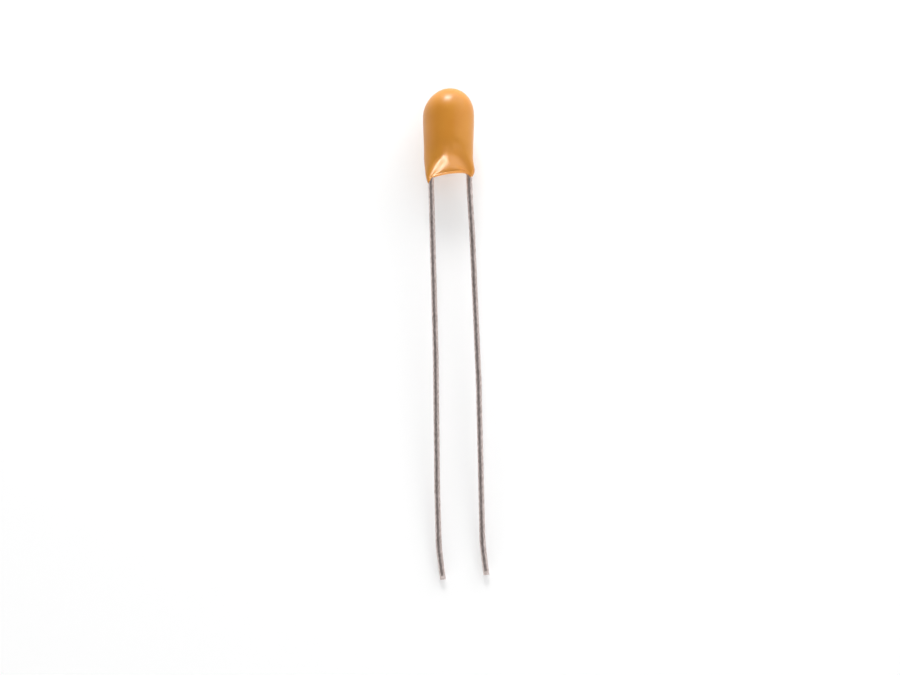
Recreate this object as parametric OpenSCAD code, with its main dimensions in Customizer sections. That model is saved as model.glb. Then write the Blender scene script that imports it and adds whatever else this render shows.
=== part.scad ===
// Dipped tantalum capacitor with two radial wire leads, at rest on its back.
//
// Every piece is drawn upright, in millimetres: x runs across the two leads, y from the front
// to the back, and z = 0 is the seating level, where the web of resin between the leads ends.
// The part is built from the inside out, as the real one is: the slug and its layers set the
// place of the leads, and the resin covers them all. laid_down() then turns the whole part on
// its back, so that the bead and both lead tips touch the floor.

/* [Anode] */
// Diameter of the sintered slug
slug_d = 2.7; // [2:0.05:3.2]
// Height of the sintered slug
slug_h = 3.7; // [3:0.05:5]
// Chamfer on the slug's edges
slug_edge = 0.25; // [0.1:0.05:0.4]
// Diameter of the riser wire
riser_d = 0.34; // [0.25:0.01:0.45]
// Depth of the riser wire inside the slug
riser_depth = 2.4; // [1.5:0.1:2.8]
// Diameter of the insulating washer
washer_d = 1.3; // [1:0.05:1.8]
// Thickness of the insulating washer
washer_t = 0.3; // [0.25:0.01:0.5]

/* [Layers on the slug] */
// Thickness of the manganese dioxide layer
dioxide_t = 0.08; // [0.06:0.01:0.12]
// Thickness of the graphite layer
graphite_t = 0.05; // [0.05:0.01:0.08]
// Thickness of the silver layer
silver_t = 0.05; // [0.05:0.01:0.08]
// Thickness of the solder on the silver
solder_t = 0.1; // [0.06:0.01:0.16]
// Thickness of the solder over the negative lead
solder_film = 0.05; // [0.04:0.01:0.1]
// Thickness of the solder between the negative lead and the silver
solder_bond = 0.04; // [0.03:0.01:0.08]
// Width of the ring round the washer that the solder leaves bare
solder_stop = 0.25; // [0.15:0.05:0.35]

/* [Leads] */
// Diameter of the lead wire
lead_d = 0.5; // [0.4:0.02:0.6]
// Distance between the two leads where they leave the bead
lead_pitch = 3.32; // [3:0.02:3.8]
// Distance of the middle of the two leads from the bead's axis
lead_offset = 0.14; // [-0.2:0.02:0.2]
// Height of the weld between the positive lead and the riser wire
weld_z = 1.45; // [1.3:0.05:1.8]
// Depth that the weld sets the positive lead into the riser wire
weld_bite = 0.08; // [0.04:0.01:0.12]
// Length of riser wire left below the weld
riser_tail = 0.12; // [0.05:0.01:0.3]
// Length of riser wire between the weld and the washer
riser_free = 0.6; // [0.4:0.05:1]
// Radius of the bend that turns the positive lead in to the weld
hook_r = 0.6; // [0.4:0.05:0.7]
// Length of the negative lead that the solder holds
solder_grip = 2.4; // [1.5:0.1:3]
// Level at which both leads start to lean
lean_z = 0.3; // [0.1:0.05:0.5]
// Radius of the gentle bends along the leads
sway_r = 40; // [20:5:80]
// Radius of the bend near the tips
tip_bend_r = 14; // [8:1:25]
// Straight length of each tip
tip_run = 2.2; // [1.5:0.1:4]
// Length of the pinched end of each tip
pinch_h = 0.3; // [0.2:0.02:0.5]
// Width of the flat left by the cutter on each tip
pinch_flat = 0.12; // [0.08:0.01:0.2]

/* [Positive lead] */
// Lean of the positive lead below the bead, in degrees
positive_lean = 1.5; // [0:0.1:4]
// Length of its upper stretch
positive_upper = 15; // [8:0.1:20]
// Turn after its upper stretch, in degrees
positive_turn = -0.9; // [-3:0.1:3]
// Length of its middle stretch
positive_middle = 11.4; // [6:0.1:16]
// Turn after its middle stretch, in degrees
positive_second_turn = 1; // [-3:0.1:3]
// Length of its lower stretch
positive_lower = 4.15; // [2:0.05:8]
// Turn at its tip, in degrees
positive_tip_turn = 5.5; // [-8:0.1:8]

/* [Negative lead] */
// Lean of the negative lead below the bead, in degrees
negative_lean = 3.4; // [0:0.1:5]
// Length of its upper stretch
negative_upper = 3; // [2:0.1:8]
// Turn after its upper stretch, in degrees
negative_turn = -1; // [-3:0.1:3]
// Length of its middle stretch
negative_middle = 12.4; // [8:0.1:18]
// Turn after its middle stretch, in degrees
negative_second_turn = -1.15; // [-3:0.05:3]
// Length of its lower stretch
negative_lower = 13.25; // [8:0.05:18]
// Turn at its tip, in degrees
negative_tip_turn = 5.5; // [-8:0.1:8]

/* [Resin bead] */
// Thickness of the resin on the front and back of the bead
coat_t = 0.46; // [0.3:0.02:0.8]
// Least thickness of the resin outside the soldered lead, at the waist of the bead
side_t = 0.04; // [0.03:0.01:0.4]
// How far the shoulder stands out beyond the waist, on each side
shoulder_swell = 0.09; // [0:0.01:0.4]
// Thickness of the resin above the slug
crown_t = 1.18; // [0.8:0.02:1.8]
// Height of the dome
dome_h = 2.5; // [2:0.05:3]
// How far the top of the dome stands to the side of the bead's axis
dome_lean = 0.14; // [-0.3:0.02:0.3]
// Distance from the slug's lower end up to where the bead has its full depth
fill_rise = 0.9; // [0.5:0.1:1.5]
// Distance from the slug's lower end down to where the scoops start
belly_drop = 0.95; // [0.4:0.05:1.1]
// Thickness of the resin film at its end on a lead
film_t = 0.08; // [0.06:0.01:0.14]
// Share of that thickness by which the film sits off the leads' centres, towards the negative lead
film_lean = 0.5; // [-0.6:0.1:0.6]
// How far the web arches up between the leads
web_rise = 0.27; // [0:0.01:0.4]
// Depth of the rounded lower edge of the web
lip_h = 0.14; // [0.08:0.01:0.2]
// How far the resin runs down the positive lead
positive_foot = 0.45; // [0.2:0.05:0.8]
// How far outside the positive lead's centre the resin runs down
positive_foot_out = 0.33; // [0:0.01:0.4]
// How far the resin runs down the negative lead
negative_foot = 0.45; // [0.2:0.05:0.8]
// How far outside the negative lead's centre the resin runs down
negative_foot_out = 0.1; // [0:0.01:0.4]
// Half of the width over which the resin runs down a lead
foot_half_w = 0.3; // [0.2:0.01:0.5]
// How much the lower edge rises towards the negative lead, from the middle
dip_slant = 0.25; // [-0.3:0.05:0.3]
// Share of the thinning over which the feet widen to the waist
flare = 0.3; // [0.15:0.05:0.6]
// Half of the bead's width where the two edges of a scoop meet
crest_half_w = 0.1; // [0.05:0.05:0.5]
// How late the edges of a scoop close in towards each other
crease_power = 1.4; // [1:0.1:1.8]
// How soon the bead reaches its full depth, from its lower rim upwards
body_power = 2.2; // [1.6:0.1:3]
// How late the scoops reach the depth that the bead has above them
scoop_power = 1.4; // [1.2:0.1:2.4]
// How far a scoop's edge stands out on the negative side, as a share of its other edge
soft_edge = 0.5; // [0.2:0.1:1]

/* [Hidden] */
$fn = 64;
// Overlap of a cutter beyond the face that it cuts
cut = 0.1;

// Leads
lead_r = lead_d / 2;
positive_x = lead_offset - lead_pitch / 2;
negative_x = lead_offset + lead_pitch / 2;

// Radii from the slug's axis outwards
dioxide_r = slug_d / 2 + dioxide_t;
graphite_r = dioxide_r + graphite_t;
silver_r = graphite_r + silver_t;
solder_r = silver_r + solder_t;
layers_t = dioxide_t + graphite_t + silver_t + solder_t;

// The slug's side lies against the negative lead, with the bond of solder between them
slug_x = negative_x - lead_r - solder_bond - silver_r;
slug_z = weld_z + lead_r + riser_free + washer_t;
riser_low = weld_z - lead_r - riser_tail;
hook_run = slug_x - riser_d / 2 + weld_bite - positive_x - hook_r;
grip_top = slug_z + solder_grip;

// Routes of the leads from the inside out: straight length, turn after it and radius of the turn
positive_route = [
    [hook_run, 90, hook_r],
    [weld_z - hook_r - lean_z, positive_lean, sway_r],
    [positive_upper, positive_turn, sway_r],
    [positive_middle, positive_second_turn, sway_r],
    [positive_lower, positive_tip_turn, tip_bend_r],
    [tip_run]
];
negative_route = [
    [grip_top - lean_z, negative_lean, sway_r],
    [negative_upper, negative_turn, sway_r],
    [negative_middle, negative_second_turn, sway_r],
    [negative_lower, negative_tip_turn, tip_bend_r],
    [tip_run]
];
// A bend is a hair thicker than the straights that it joins, and each straight ends inside it.
// Where a turn is set to 0, a short sleeve does the same for the two straights in line.
bend_swell = 0.01;
bend_facets = 360;
sleeve_h = 0.4;
function arc(step) = step[2] * abs(step[1]) * PI / 180;
function lap(step) =
    step[1] == 0 ? -sleeve_h / 4 : min(sqrt(step[2] * bend_swell), arc(step)) / 3;
positive_start = [positive_x + hook_r + hook_run, weld_z];
negative_start = [negative_x, grip_top];
positive_heading = -90;
negative_heading = 0;

// Point [x, z] at the end of a route, where a heading of 0 is straight down and 90 is along +x
function unit(heading) = [sin(heading), -cos(heading)];
function turn_step(step, heading) =
    step[2] * sign(step[1]) * (unit(heading + step[1] - 90) - unit(heading - 90));
function route_end(route, at, heading, i = 0) =
    i == len(route) - 1
        ? at + route[i][0] * unit(heading)
        : route_end(
            route,
            at + route[i][0] * unit(heading) + turn_step(route[i], heading),
            heading + route[i][1],
            i + 1
        );
positive_tip = route_end(positive_route, positive_start, positive_heading);
negative_tip = route_end(negative_route, negative_start, negative_heading);

// The bead is as wide as the leads need and as deep as the slug needs
film_r = lead_r + film_t;
rim_half_w = lead_pitch / 2 + film_r;
rim_x = lead_offset + film_t * film_lean;
leads_half_w = lead_pitch / 2 + abs(lead_offset) + lead_r + solder_film;
waist_half_w = max(leads_half_w, solder_r + abs(slug_x)) + side_t;
shoulder_half_w = waist_half_w + shoulder_swell;
bead_half_d = solder_r + coat_t;
bead_top = slug_z + slug_h + layers_t + crown_t;
belly_z = slug_z - belly_drop;
fill_z = slug_z + fill_rise;
shoulder_z = bead_top - dome_h;

// Resin sections: h runs from 0 at the lower rim to 1 at the belly. A section has a round flank
// about each lead and a scoop between them, front and back, that closes at the belly.
// A station is [place across the scoop from -1 to 1, angle round the flank].
flank_steps = 12;
scoop_steps = 16;
lip_rings = [0.8, 0.55, 0.3];
thinning_rings = 16;
belly_rings = 8;
dome_rings = 8;

flanks = [for (i = [0 : flank_steps - 1]) 90 * i / flank_steps];
scoops = [for (i = [0 : scoop_steps - 1]) 1 - 2 * i / scoop_steps];
stations = concat(
    [for (a = flanks) [1, a]],
    [for (s = scoops) [s, 90]],
    [for (a = flanks) [-1, 90 + a]],
    [for (a = flanks) [-1, 180 + a]],
    [for (s = scoops) [-s, 270]],
    [for (a = flanks) [1, 270 + a]]
);

function ease(h) = h * h * (3 - 2 * h);
function grow(from, to, share) = from + (to - from) * share;
function body_y(z) = grow(film_r, bead_half_d, 1 - (1 - min(1, z / fill_z)) ^ body_power);
function ridge_y(h) = body_y(belly_z * h);
function scoop_y(h) = grow(film_r, body_y(belly_z), h ^ scoop_power);
function ridge_x(h) = grow(lead_pitch / 2, crest_half_w, h ^ crease_power);
function half_w(h) = grow(rim_half_w, waist_half_w, sin(90 * min(1, h / flare)));
function middle_x(h) = grow(rim_x, 0, ease(h));
// Share of the way from a scoop's middle to its edges: a crease on the left, a soft edge on the right
function across(s) = s < 0 ? s ^ 2 : soft_edge * sin(90 * s) ^ 2;
function section_point(station, ridge, reach, depths, x, z) = [
    x + ridge * station[0] + reach * cos(station[1]),
    grow(depths[0], depths[1], across(station[0])) * sin(station[1]),
    z
];
// Height of the lower rim, from the place across the bead
function run_down(x) = exp(-(x / foot_half_w) ^ 2);
function rim_z(station) =
    let (x = lead_pitch / 2 * station[0] + film_r * cos(station[1]), p = x / rim_half_w)
    web_rise * (1 - p ^ 2) + dip_slant * p
        - positive_foot * run_down(x + lead_pitch / 2 + positive_foot_out)
        - negative_foot * run_down(x - lead_pitch / 2 - negative_foot_out);

// Rounded lower edge of the web, from the inside out
lip = [for (q = lip_rings) let (r = film_r * cos(90 * q)) [for (s = stations)
    section_point(s, lead_pitch / 2, r, [r, r], rim_x, rim_z(s) - lip_h * sin(90 * q))
]];
// From the web and the feet up to the round belly
thinning = [for (i = [0 : thinning_rings]) let (h = i / thinning_rings) [for (s = stations)
    section_point(
        s, ridge_x(h), half_w(h) - ridge_x(h), [scoop_y(h), ridge_y(h)],
        middle_x(h), grow(rim_z(s), belly_z, h)
    )
]];
// From the belly up to the shoulder
belly = [for (i = [1 : belly_rings])
    let (h = i / belly_rings, z = grow(belly_z, shoulder_z, h))
    [for (s = stations) section_point(
        s, crest_half_w, waist_half_w + shoulder_swell * ease(h) - crest_half_w,
        [body_y(z), body_y(z)], 0, z
    )]
];
// From the shoulder to just below the top
dome = [for (i = [1 : dome_rings]) let (t = 90 * i / (dome_rings + 1)) [for (s = stations)
    section_point(
        s, crest_half_w * cos(t), (shoulder_half_w - crest_half_w) * cos(t),
        [bead_half_d * cos(t), bead_half_d * cos(t)],
        dome_lean * ease(sin(t)), shoulder_z + dome_h * sin(t)
    )
]];

// Rest: the line from the back of the tips to the back of the bead lies on the floor
tip_back_z = min(positive_tip[1], negative_tip[1]) + pinch_h;
rest_slopes = [for (ring = concat(thinning, belly, dome), p = ring)
    (p[1] - lead_r) / (p[2] - tip_back_z)
];
rest_tilt = atan(max(rest_slopes));
rest_lift = lead_r * cos(rest_tilt) - tip_back_z * sin(rest_tilt);
left_x = min(-shoulder_half_w, positive_tip[0] - lead_r);
right_x = max(shoulder_half_w, negative_tip[0] + lead_r);
rest_middle_x = (left_x + right_x) / 2;
rest_middle_y = (bead_top + min(positive_tip[1], negative_tip[1])) / 2 * cos(rest_tilt);

// Turns a piece from upright to lying on its back, over the middle of the floor
module laid_down() {
    translate([-rest_middle_x, -rest_middle_y, rest_lift])
        rotate([rest_tilt - 90, 0, 0])
            children();
}

// The two jaws of the cutter: a wedge on each side of the wire's end, with the flat between them
module pinch() {
    slope = pinch_h / (lead_r - pinch_flat / 2);
    for (turn = [0, 180])
        rotate([90, 0, 90 + turn])
            translate([0, 0, -lead_d])
                linear_extrude(2 * lead_d)
                    polygon([
                        [pinch_flat / 2, -cut],
                        [pinch_flat / 2, 0],
                        [lead_d, slope * (lead_d - pinch_flat / 2)],
                        [lead_d, -cut]
                    ]);
}

// Bend of a wire that runs down, towards +x for a positive turn
module bend(turn, bend_r) {
    translate([sign(turn) * bend_r, 0, 0])
        rotate([-90, 0, turn > 0 ? 180 : 0])
            rotate_extrude(angle = abs(turn), $fn = bend_facets)
                translate([bend_r, 0])
                    circle(lead_r + bend_swell);
}

// Sleeve round the joint of two straights in line
module sleeve() {
    translate([0, 0, -sleeve_h / 2])
        cylinder(r = lead_r + bend_swell, h = sleeve_h);
}

// Wire along a route, from its start downwards, pinched at its end
module wire(route, i = 0) {
    run = route[i][0];
    turn = route[i][1];
    bend_r = route[i][2];
    above = i == 0 ? 0 : lap(route[i - 1]);
    if (i == len(route) - 1) {
        translate([0, 0, -run])
            difference() {
                cylinder(d = lead_d, h = run + above);
                pinch();
            }
    } else {
        below = lap(route[i]);
        translate([0, 0, -run - below])
            cylinder(d = lead_d, h = run + above + below);
        translate([0, 0, -run]) {
            if (turn == 0) sleeve();
            else bend(turn, bend_r);
            translate([sign(turn) * bend_r * (1 - cos(turn)), 0, -bend_r * abs(sin(turn))])
                rotate([0, -turn, 0])
                    wire(route, i + 1);
        }
    }
}

module positive_wire() {
    translate([positive_start[0], 0, positive_start[1]])
        rotate([0, -positive_heading, 0])
            wire(positive_route);
}

module negative_wire() {
    translate([negative_start[0], 0, negative_start[1]])
        wire(negative_route);
}

module riser() {
    translate([slug_x, 0, riser_low])
        cylinder(d = riser_d, h = slug_z + riser_depth - riser_low);
}

module washer_blank() {
    translate([slug_x, 0, slug_z - washer_t])
        cylinder(d = washer_d, h = washer_t);
}

// The slug grown outwards by t on every side, chamfers too
module slug_form(t) {
    radius = slug_d / 2 + t;
    height = slug_h + 2 * t;
    edge = slug_edge + t * (2 - sqrt(2));
    translate([slug_x, 0, slug_z - t])
        rotate_extrude()
            polygon([
                [0, 0],
                [radius - edge, 0],
                [radius, edge],
                [radius, height - edge],
                [radius - edge, height],
                [0, height]
            ]);
}

// One layer between two growths of the slug, open round the washer
module layer(inner_t, outer_t) {
    difference() {
        slug_form(outer_t);
        slug_form(inner_t);
        washer_blank();
    }
}

// Solder over the silver and the upper end of the negative lead
module solder_form() {
    difference() {
        slug_form(layers_t);
        translate([slug_x, 0, slug_z - layers_t - cut])
            cylinder(r = washer_d / 2 + solder_stop, h = layers_t + cut);
    }
    translate([negative_x, 0, slug_z])
        cylinder(r = lead_r + solder_film, h = solder_grip + solder_film);
}

// Closed skin through the rings, with the lower edge zipped up and the top drawn to a point
module bead_form() {
    rings = concat(lip, thinning, belly, dome);
    n = len(stations);
    last = len(rings) - 1;
    points = concat([for (ring = rings) each ring], [[dome_lean, 0, bead_top]]);
    walls = [for (r = [0 : last - 1], i = [0 : n - 1]) let (j = (i + 1) % n)
        each [[r * n + i, (r + 1) * n + i, r * n + j], [r * n + j, (r + 1) * n + i, (r + 1) * n + j]]
    ];
    crown = [for (i = [0 : n - 1]) [last * n + i, (last + 1) * n, last * n + (i + 1) % n]];
    zip = [for (i = [0 : n / 2 - 1]) let (k = n - i, m = n - i - 1)
        each [[i, i + 1, m], if (i > 0) [i, m, k]]
    ];
    polyhedron(points, concat(walls, crown, [for (f = zip) if (f[1] != f[2]) f]));
}

module resin_coat() {
    color("#c98632")
        laid_down()
            difference() {
                bead_form();
                positive_wire();
                negative_wire();
                riser();
                washer_blank();
                slug_form(layers_t - solder_t);
                solder_form();
            }
}

module positive_lead() {
    color("#a79b97")
        laid_down()
            difference() {
                positive_wire();
                riser();
            }
}

module negative_lead() {
    color("#a79b97")
        laid_down()
            negative_wire();
}

module anode_slug() {
    color("#56555a")
        laid_down()
            difference() {
                slug_form(0);
                riser();
            }
}

module riser_wire() {
    color("#7d7f86")
        laid_down()
            riser();
}

module insulating_washer() {
    color("#ece9e2")
        laid_down()
            difference() {
                washer_blank();
                riser();
            }
}

module dioxide_layer() {
    color("#2b2827")
        laid_down()
            layer(0, dioxide_t);
}

module graphite_layer() {
    color("#3a3a3d")
        laid_down()
            layer(dioxide_t, dioxide_t + graphite_t);
}

module silver_layer() {
    color("#c9c8c4")
        laid_down()
            layer(dioxide_t + graphite_t, layers_t - solder_t);
}

module solder_coat() {
    color("#a9a9ab")
        laid_down()
            difference() {
                solder_form();
                slug_form(layers_t - solder_t);
                negative_wire();
            }
}

resin_coat();
positive_lead();
negative_lead();
anode_slug();
riser_wire();
insulating_washer();
dioxide_layer();
graphite_layer();
silver_layer();
solder_coat();
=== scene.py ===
# %% [markdown]
# # A dipped tantalum capacitor
# The real part is a small bead of golden resin on two tinned wires, about 44 mm long in all.
# The solids come from the CAD source, in metres, in one shared frame: the part lies on its back
# on the floor, with the dome towards +Y, the lead tips towards -Y and the front face up.
# This lesson gives those solids their surfaces, then sets up a small studio round them.

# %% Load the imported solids
import math

import bmesh
import bpy
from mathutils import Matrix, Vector


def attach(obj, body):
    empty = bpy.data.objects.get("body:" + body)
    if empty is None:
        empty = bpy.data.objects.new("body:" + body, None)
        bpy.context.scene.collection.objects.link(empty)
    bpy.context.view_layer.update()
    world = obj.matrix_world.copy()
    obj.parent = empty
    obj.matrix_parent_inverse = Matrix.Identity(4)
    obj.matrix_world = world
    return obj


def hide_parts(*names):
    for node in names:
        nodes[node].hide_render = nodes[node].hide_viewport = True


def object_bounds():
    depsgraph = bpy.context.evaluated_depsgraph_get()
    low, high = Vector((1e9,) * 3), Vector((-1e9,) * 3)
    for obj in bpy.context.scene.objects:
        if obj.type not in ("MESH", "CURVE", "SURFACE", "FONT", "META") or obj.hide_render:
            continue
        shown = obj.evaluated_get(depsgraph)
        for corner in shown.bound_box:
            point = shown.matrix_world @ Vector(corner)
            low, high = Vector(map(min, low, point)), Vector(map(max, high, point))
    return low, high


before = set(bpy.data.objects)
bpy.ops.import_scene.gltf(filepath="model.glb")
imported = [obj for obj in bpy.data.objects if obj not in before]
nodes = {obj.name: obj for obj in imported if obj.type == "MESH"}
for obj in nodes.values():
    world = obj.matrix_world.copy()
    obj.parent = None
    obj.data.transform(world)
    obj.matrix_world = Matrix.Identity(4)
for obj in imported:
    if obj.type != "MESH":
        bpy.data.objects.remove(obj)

MM = 0.001
cad_low, cad_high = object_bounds()
print("solids:", sorted(nodes))
print("CAD box in mm:", [round(x / MM, 2) for x in (*cad_low, *cad_high)])

# %% [markdown]
# ## The resin bead
# The bead is dipped: it is drawn out of liquid resin, so its skin is smooth all over, apart from the
# scoop that the resin leaves between the leads. The CAD mesh is loose flat triangles, on which a
# glossy finish would show every facet. It could be modelled again by hand, but a merged copy keeps
# the true form: its doubles are merged, its faces are shaded smooth, and only the edges that really
# are sharp are kept sharp.

# %% Merge and smooth the bead
SHARP_ANGLE = math.radians(34)
MERGE_DISTANCE = 0.0005 * MM


def mark_sharp_edges(shape):
    for edge in shape.edges:
        edge.smooth = edge.calc_face_angle(math.pi) < SHARP_ANGLE


def smooth_copy(node, name):
    shape = bmesh.new()
    shape.from_mesh(nodes[node].data)
    bmesh.ops.remove_doubles(shape, verts=shape.verts, dist=MERGE_DISTANCE)
    for face in shape.faces:
        face.smooth = True
    mark_sharp_edges(shape)
    mesh = bpy.data.meshes.new(name)
    shape.to_mesh(mesh)
    shape.free()
    piece = bpy.data.objects.new(name, mesh)
    bpy.context.scene.collection.objects.link(piece)
    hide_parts(node)
    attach(piece, "root")
    print(name, "has", len(mesh.vertices), "points and", len(mesh.polygons), "faces")
    return piece


bead = smooth_copy("resin_coat", "resin_bead")

# %% [markdown]
# ## The soft edges of the scoop
# The resin still flows while it sets, so the edges of the scoop are rounded off, and the right one
# nearly melts into the front. A bevel would give them one even width. Here the points near each
# edge are drawn towards the middle of their neighbours again and again, which rounds an edge more
# where it is sharper and leaves the rest of the skin alone. The scoop at the back is treated too.

# %% Round off the edges of the scoop
CREASE_ANGLE = math.radians(12)
SCOOP_LOW = 13.9 * MM
SCOOP_HIGH = 16.3 * MM
# What lies within this depth of the web's height is the web, its lip or a bore, and stays as it is
WEB_HEIGHT = 2.0 * MM
WEB_DEPTH = 0.4 * MM
# Where it starts from the left in mm, how many rings of neighbours go along, and how many turns
ROUNDING = {"both edges": (-3.0, 2, 10), "middle and right edge": (-1.1, 5, 40)}
HALF_WAY = 0.5
ALL_AXES = {"use_axis_x": True, "use_axis_y": True, "use_axis_z": True}


def on_scoop(point, left):
    x, y, z = point.co
    return x > left and SCOOP_LOW < y < SCOOP_HIGH and abs(z - WEB_HEIGHT) > WEB_DEPTH


shape = bmesh.new()
shape.from_mesh(bead.data)
creases = [edge for edge in shape.edges if edge.calc_face_angle(0) > CREASE_ANGLE]
for name, (left_mm, rings, turns) in ROUNDING.items():
    near = {point for edge in creases for point in edge.verts if on_scoop(point, left_mm * MM)}
    for ring in range(rings):
        beside = {other for point in near for edge in point.link_edges for other in edge.verts}
        near |= {point for point in beside if on_scoop(point, left_mm * MM)}
    soft = [point for point in shape.verts if point in near]
    for turn in range(turns):
        bmesh.ops.smooth_vert(shape, verts=soft, factor=HALF_WAY, **ALL_AXES)
    print("rounded", name, "with", len(soft), "points")
mark_sharp_edges(shape)
shape.to_mesh(bead.data)
shape.free()

# %% [markdown]
# ## The leads
# Each lead is tinned round wire, a little bent. A tube along a curve could stand for it, but its
# solid already has the bends and the cut tips. So its mesh is merged as the bead's is, and light
# runs along it in unbroken lines, while the edges that the cutter left at the tips stay sharp.

# %% Merge and smooth the leads
leads = []
for name in ("positive_lead", "negative_lead"):
    lead = smooth_copy(name, name + "_wire")
    leads.append(lead)

# %% [markdown]
# ## Tools for materials
# A material is a tree of nodes. One small function adds a node, sets it up and links it, so that
# each material below reads as a list of what the surface is made of. Colours are written as sRGB
# hex values, as on a colour card, and turned to the linear values that the renderer works in.
# All patterns read Object coordinates, which are metres here, so a size in mm gives their scale.

# %% Functions for colours, nodes and materials
def colour(hex_code):
    channels = [int(hex_code[i : i + 2], 16) / 255 for i in (1, 3, 5)]
    return (*[c / 12.92 if c <= 0.04045 else ((c + 0.055) / 1.055) ** 2.4 for c in channels], 1)


def add(tree, kind, inputs=(), output=None, **settings):
    node = tree.nodes.new(kind)
    for name, value in settings.items():
        setattr(node, name, value)
    sockets = {s.name: s for s in reversed(node.inputs) if s.enabled}
    for name, value in dict(inputs).items():
        socket = node.inputs[name] if isinstance(name, int) else sockets[name]
        if isinstance(value, bpy.types.NodeSocket):
            tree.links.new(value, socket)
        else:
            socket.default_value = value
    return next((s for s in node.outputs if s.enabled and output in (None, s.name)), None)


def new_material(name):
    material = bpy.data.materials.new(name)
    material.use_nodes = True
    material.node_tree.nodes.clear()
    place = add(material.node_tree, "ShaderNodeTexCoord", output="Object")
    return material, material.node_tree, place


def put_on(material, shader, *pieces):
    add(material.node_tree, "ShaderNodeOutputMaterial", {"Surface": shader})
    for piece in pieces:
        piece.data.materials.clear()
        piece.data.materials.append(material)
    print(material.name, "is on", [piece.name for piece in pieces])


# %% [markdown]
# ## Dipped epoxy resin
# The bead is an epoxy filled with a golden ochre pigment. It is dipped and cured, so it is glossy,
# and it levels out into very shallow waves. The pigment drifts a little as the resin runs, which
# gives soft patches of a slightly browner and a slightly yellower tone. One colour under a clear
# coat would look like new plastic, so two noises vary it: one for the pigment, one for the waves.

# %% Make the resin
PIGMENT_PATCH = 1.8 * MM
SKIN_WAVE = 0.9 * MM
WAVE_HEIGHT = 0.02 * MM
material, tree, place = new_material("dipped_epoxy_resin")
drift = add(tree, "ShaderNodeTexNoise", {"Vector": place, "Scale": 1 / PIGMENT_PATCH, "Detail": 2})
tone = add(tree, "ShaderNodeMix", {
    "Factor": drift, "A": colour("#c27a24"), "B": colour("#cd8c31"),
}, data_type="RGBA")
gloss = add(tree, "ShaderNodeMapRange", {"Value": drift, "To Min": 0.29, "To Max": 0.35})
waves = add(tree, "ShaderNodeTexNoise", {"Vector": place, "Scale": 1 / SKIN_WAVE, "Detail": 1})
skin = add(tree, "ShaderNodeBump", {"Height": waves, "Distance": WAVE_HEIGHT, "Strength": 0.3})
shader = add(tree, "ShaderNodeBsdfPrincipled", {
    "Base Color": tone, "Roughness": gloss, "IOR": 1.52, "Normal": skin,
})
put_on(material, shader, bead)

# %% [markdown]
# ## Tinned wire
# The leads are taken as drawn steel wire with a copper skin, coated in tin. Drawing leaves fine
# lines along the wire and the tin freezes with small bright and dull grains, so the reflection is
# satin, slightly warm in tone and broken up by specks. A picture wrapped round the wire could show
# that, but noise that is stretched along the wire needs no unwrapping.

# %% Make the tinned wire
# The real lines and grains are some 0.02 mm wide, and are drawn coarser so that they show
LINE_WIDTH = 0.12 * MM
LINE_LENGTH = 1.6 * MM
GRAIN_WIDTH = 0.14 * MM
GRAIN_LENGTH = 0.4 * MM
RELIEF_HEIGHT = 0.01 * MM
material, tree, place = new_material("tinned_wire")
drawn = add(tree, "ShaderNodeMapping", {
    "Vector": place, "Scale": (1 / LINE_WIDTH, 1 / LINE_LENGTH, 1 / LINE_WIDTH),
})
lines = add(tree, "ShaderNodeTexNoise", {"Vector": drawn, "Scale": 1, "Detail": 3})
frozen = add(tree, "ShaderNodeMapping", {
    "Vector": place, "Scale": (1 / GRAIN_WIDTH, 1 / GRAIN_LENGTH, 1 / GRAIN_WIDTH),
})
grains = add(tree, "ShaderNodeTexNoise", {"Vector": frozen, "Scale": 1, "Detail": 2})
flecks = add(tree, "ShaderNodeMapRange", {"Value": grains, "From Min": 0.3, "From Max": 0.7})
tone = add(tree, "ShaderNodeMix", {
    "Factor": flecks, "A": colour("#bdaea9"), "B": colour("#eaddd9"),
}, data_type="RGBA")
gloss = add(tree, "ShaderNodeMapRange", {"Value": lines, "To Min": 0.36, "To Max": 0.5})
relief = add(tree, "ShaderNodeMath", {0: lines, 1: flecks}, operation="ADD")
skin = add(tree, "ShaderNodeBump", {"Height": relief, "Distance": RELIEF_HEIGHT, "Strength": 0.35})
shader = add(tree, "ShaderNodeBsdfPrincipled", {
    "Base Color": tone, "Metallic": 1, "Roughness": gloss, "Normal": skin,
})
put_on(material, shader, *leads)

# %% [markdown]
# ## The sealed parts
# The slug, its wire, its washer and its layers are hidden in the bead, but the part can be cut
# open or taken apart, so each of them has the surface of the real material too. They differ in
# colour, in grain and in how much they shine, so one loop makes them all from a short list.

# %% Make the inner materials
# Finish, its two tones, grain in mm, metallic, roughness and relief in mm. The grain of each is
# finer on the real one, and is drawn coarser so that it shows.
INNER = {
    "anode_slug": ("sintered_tantalum", "#4c4b50", "#66656b", 0.12, 0.75, 0.7, 0.05),
    "riser_wire": ("tantalum_wire", "#74767d", "#8b8d95", 0.08, 1.0, 0.35, 0.01),
    "insulating_washer": ("pressed_fluoropolymer", "#e6e3dc", "#f2f0ea", 0.2, 0.0, 0.45, 0.01),
    "dioxide_layer": ("manganese_dioxide_crust", "#24211f", "#37322f", 0.1, 0.0, 0.85, 0.04),
    "graphite_layer": ("dried_graphite", "#333336", "#454549", 0.15, 0.0, 0.55, 0.02),
    "silver_layer": ("silver_paint", "#bdbcb8", "#d5d4d0", 0.12, 0.9, 0.4, 0.02),
    "solder_coat": ("dipped_solder", "#a1a1a4", "#b9b9bc", 0.4, 1.0, 0.3, 0.03),
}
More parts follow.
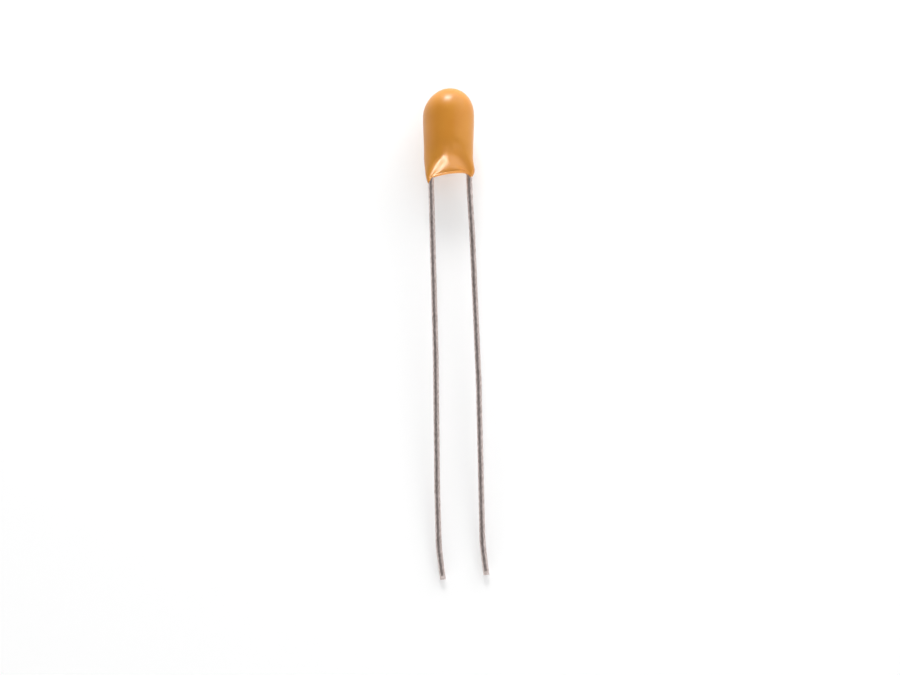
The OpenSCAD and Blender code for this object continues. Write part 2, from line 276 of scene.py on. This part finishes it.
for name, (finish, dark, light, grain_mm, metallic, roughness, relief_mm) in INNER.items():
    material, tree, place = new_material(finish)
    grain = add(tree, "ShaderNodeTexNoise", {
        "Vector": place, "Scale": 1 / (grain_mm * MM), "Detail": 3,
    })
    tone = add(tree, "ShaderNodeMix", {
        "Factor": grain, "A": colour(dark), "B": colour(light),
    }, data_type="RGBA")
    skin = add(tree, "ShaderNodeBump", {
        "Height": grain, "Distance": relief_mm * MM, "Strength": 0.5,
    })
    shader = add(tree, "ShaderNodeBsdfPrincipled", {
        "Base Color": tone, "Metallic": metallic, "Roughness": roughness, "Normal": skin,
    })
    put_on(material, shader, nodes[name])

# %% [markdown]
# ## The camera
# The photograph shows the bead from the front and a little from below, with a long lens. The part
# lies on its back here, so that view is from above: the camera stands over the lead tips and looks
# down on the front face. Its frame is 78.3 mm wide at the part, which is what the photograph shows.

# %% Place the camera
VIEW_ELEVATION = math.radians(73)
VIEW_DISTANCE = 1200 * MM
FRAME_WIDTH = 78.26 * MM
FRAME_MIDDLE = Vector((-0.515, 0.661, -2.206)) * MM

camera_data = bpy.data.cameras.new("camera")
camera = bpy.data.objects.new("camera", camera_data)
bpy.context.scene.collection.objects.link(camera)
bpy.context.scene.camera = camera
towards_camera = Vector((0, -math.cos(VIEW_ELEVATION), math.sin(VIEW_ELEVATION)))
camera.location = FRAME_MIDDLE + VIEW_DISTANCE * towards_camera
camera.rotation_euler = (math.pi / 2 - VIEW_ELEVATION, 0, 0)
camera_data.lens = camera_data.sensor_width * VIEW_DISTANCE / FRAME_WIDTH
print("lens in mm:", round(camera_data.lens, 1))

# %% [markdown]
# ## The floor
# The photograph has a white sweep. The floor is a wide white sheet at the level on which the part
# rests. It could be made white with more light, but that would wash out the part. So it adds a
# little light of its own, to the camera and in reflections only: it reads as white while it still
# takes the part's shadow. Further out, where the lamps don't reach, it adds more, so that it stays
# white in a low view too.

# %% Make the floor
FLOOR_SIZE = 1.5
FLOOR_GAP = 0.01 * MM
NEAR_DISTANCE = 0.1
FAR_DISTANCE = 0.6
NEAR_GLOW = 0.37
FAR_GLOW = 0.85
shape = bmesh.new()
bmesh.ops.create_grid(shape, x_segments=1, y_segments=1, size=FLOOR_SIZE)
bmesh.ops.translate(shape, verts=shape.verts, vec=(0, 0, cad_low.z - FLOOR_GAP))
mesh = bpy.data.meshes.new("floor")
shape.to_mesh(mesh)
shape.free()
floor = bpy.data.objects.new("floor", mesh)
bpy.context.scene.collection.objects.link(floor)


def seen_in_view(tree):
    rays = add(tree, "ShaderNodeLightPath").node.outputs
    seen = rays["Is Camera Ray"]
    for other in ("Is Glossy Ray", "Is Transmission Ray"):
        seen = add(tree, "ShaderNodeMath", {0: seen, 1: rays[other]}, operation="MAXIMUM")
    return seen


material, tree, place = new_material("white_paper_sweep")
distance = add(tree, "ShaderNodeVectorMath", {0: place}, operation="LENGTH")
glow = add(tree, "ShaderNodeMapRange", {
    "Value": distance, "From Min": NEAR_DISTANCE, "From Max": FAR_DISTANCE,
    "To Min": NEAR_GLOW, "To Max": FAR_GLOW,
})
glow = add(tree, "ShaderNodeMath", {0: seen_in_view(tree), 1: glow}, operation="MULTIPLY")
paper = add(tree, "ShaderNodeBsdfDiffuse", {"Color": colour("#d2d2d2")})
shine = add(tree, "ShaderNodeEmission", {"Strength": glow})
put_on(material, add(tree, "ShaderNodeAddShader", {0: paper, 1: shine}), floor)
print("floor at", round(cad_low.z / MM, 3), "mm")

# %% [markdown]
# ## The lamps
# Soft boxes stand round the part, as in a small studio. A wide one beyond the dome is the main
# light: it makes the top of the bead brighter than its front, and one beyond the tips fills in the
# scoop. Both would spread a veil over the resin and whiten the wires, so they are kept out of
# reflections, as a polarising filter keeps them out of a picture. A small box makes the spot of
# light on the dome, and one on the right gives the wires their bright side. The other two act as
# cards that only show in reflections: one picks out the left half of the scoop, the other the cut
# faces of the tips. The two small strong boxes are for the resin, and would turn bright metal
# white, so they are kept off the wires.

# %% Place the lamps
# Direction from the bead, distance, width and height in mm, radiance, and what the lamp acts on
LAMPS = {
    "main_box": ((0.22, 0.93, 0.26), 260, 420, 180, 5.6, "diffuse"),
    "dome_box": ((-0.08, 0.9, 0.43), 250, 50, 50, 42, "both"),
    "side_box": ((0.72, 0.29, 0.62), 300, 260, 300, 0.58, "both"),
    "scoop_box": ((0.52, -0.84, 0.17), 250, 130, 60, 26, "glossy"),
    "table_box": ((0.0, -0.99, 0.15), 300, 500, 85, 10, "diffuse"),
    "tip_box": ((0.12, -0.8, 0.58), 300, 240, 180, 0.85, "glossy"),
}
OFF_THE_WIRES = ("dome_box", "scoop_box")
shielded = bpy.data.collections.new("shielded_wires")
for lead in leads:
    shielded.objects.link(lead)
for member in shielded.collection_objects:
    member.light_linking.link_state = "EXCLUDE"

MIDDLE_OF_BEAD = Vector((-0.65, 18, 2)) * MM
for name, (direction, distance_mm, width_mm, height_mm, radiance, role) in LAMPS.items():
    lamp_data = bpy.data.lights.new(name, "AREA")
    lamp_data.shape = "RECTANGLE"
    lamp_data.size = width_mm * MM
    lamp_data.size_y = height_mm * MM
    lamp_data.energy = radiance * math.pi * lamp_data.size * lamp_data.size_y
    lamp = bpy.data.objects.new(name, lamp_data)
    bpy.context.scene.collection.objects.link(lamp)
    aim = Vector(direction).normalized()
    lamp.location = MIDDLE_OF_BEAD + aim * distance_mm * MM
    lamp.rotation_euler = aim.to_track_quat("Z", "Y").to_euler()
    lamp.visible_camera = False
    lamp.visible_diffuse = role != "glossy"
    lamp.visible_glossy = role != "diffuse"
    if name in OFF_THE_WIRES:
        lamp.light_linking.receiver_collection = shielded
    print(name, "gives", round(lamp_data.energy, 3), "W")

# %% [markdown]
# ## The room
# What a glossy part mirrors is mostly the room. A picture of a real one could be put there, but it
# would show in the resin. Here the walls are pale low down, where the sides of the wires and the
# bead mirror them, and dim higher up, so that the front of the bead shows its own colour. Just over
# the floor a band is white, so that the floor seems to run on in a low view.

# %% Light the room
ROOM_LOW = 0.6
ROOM_HIGH = 0.21
# How far up a direction points, from 0 at the horizon to 1 overhead
WALL_FOOT = 0.25
WALL_TOP = 0.6
BAND_FOOT = 0.1
BAND_TOP = 0.15
world = bpy.data.worlds.new("white_room")
bpy.context.scene.world = world
world.use_nodes = True
tree = world.node_tree
tree.nodes.clear()
towards = add(tree, "ShaderNodeTexCoord", output="Generated")
height = add(tree, "ShaderNodeSeparateXYZ", {"Vector": towards}, output="Z")
walls = add(tree, "ShaderNodeMapRange", {
    "Value": height, "From Min": WALL_FOOT, "From Max": WALL_TOP,
    "To Min": ROOM_LOW, "To Max": ROOM_HIGH,
}, interpolation_type="SMOOTHSTEP")
band = add(tree, "ShaderNodeMapRange", {
    "Value": height, "From Min": BAND_FOOT, "From Max": BAND_TOP, "To Min": 1, "To Max": 0,
})
white = add(tree, "ShaderNodeMath", {0: seen_in_view(tree), 1: band}, operation="MULTIPLY")
strength = add(tree, "ShaderNodeMath", {0: walls, 1: white}, operation="MAXIMUM")
room = add(tree, "ShaderNodeBackground", {"Color": colour("#ffffff"), "Strength": strength})
add(tree, "ShaderNodeOutputWorld", {"Surface": room})

bpy.context.scene.view_settings.view_transform = "Standard"
print("room from", ROOM_LOW, "low down to", ROOM_HIGH, "overhead")
